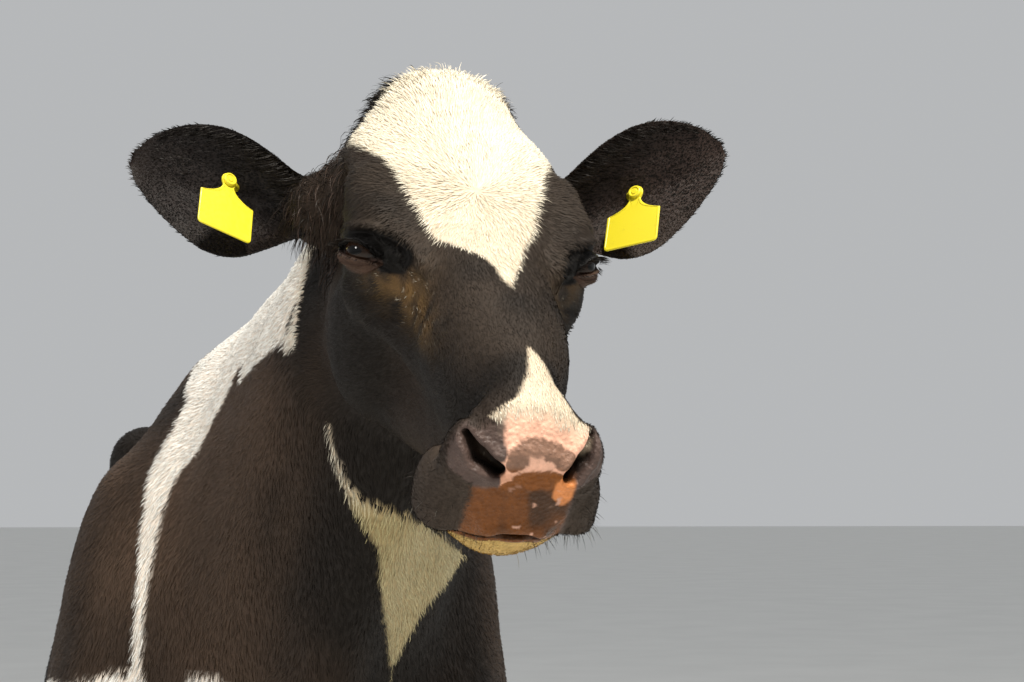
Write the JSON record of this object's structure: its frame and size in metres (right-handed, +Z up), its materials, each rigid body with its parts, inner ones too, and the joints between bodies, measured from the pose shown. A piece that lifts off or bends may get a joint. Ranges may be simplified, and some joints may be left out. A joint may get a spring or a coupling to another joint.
{
  "type": "cow",
  "caption": "Life-size dairy cow standing square with its head raised, black and white, without horns, with a yellow tag in each ear.",
  "frame": {"origin": "on the ground under the middle of the whole cow", "axes": "+Z up, the cow faces -Y and its left side is +X"},
  "size_m": [0.8014, 2.53, 1.6744],
  "materials": {
    "hide": "short glossy coat",
    "white_hide": "short coat",
    "udder_skin": "soft bare skin",
    "horn": "worn horn",
    "eye": "wet gloss",
    "tag": "satin moulded plastic",
    "long_hair": "long coarse hair"
  },
  "bodies": {
    "root": {"ear_left": "hide", "ear_tag_left": "tag", "eye_left": "eye", "ear_right": "hide", "ear_tag_right": "tag", "eye_right": "eye", "head": "hide", "poll_tuft": "long_hair", "neck": "hide", "udder": "udder_skin", "torso": "hide", "foreleg_left_upper": "hide", "foreleg_left_lower": "white_hide", "claw_foreleg_left_outer": "horn", "dewclaw_foreleg_left_outer": "horn", "claw_foreleg_left_inner": "horn", "dewclaw_foreleg_left_inner": "horn", "foreleg_right_upper": "hide", "foreleg_right_lower": "white_hide", "claw_foreleg_right_outer": "horn", "dewclaw_foreleg_right_outer": "horn", "claw_foreleg_right_inner": "horn", "dewclaw_foreleg_right_inner": "horn", "hindleg_left_upper": "hide", "hindleg_left_lower": "white_hide", "claw_hindleg_left_outer": "horn", "dewclaw_hindleg_left_outer": "horn", "claw_hindleg_left_inner": "horn", "dewclaw_hindleg_left_inner": "horn", "hindleg_right_upper": "hide", "hindleg_right_lower": "white_hide", "claw_hindleg_right_outer": "horn", "dewclaw_hindleg_right_outer": "horn", "claw_hindleg_right_inner": "horn", "dewclaw_hindleg_right_inner": "horn", "tail": "hide", "tail_switch": "long_hair"}
  },
  "joints": []
}
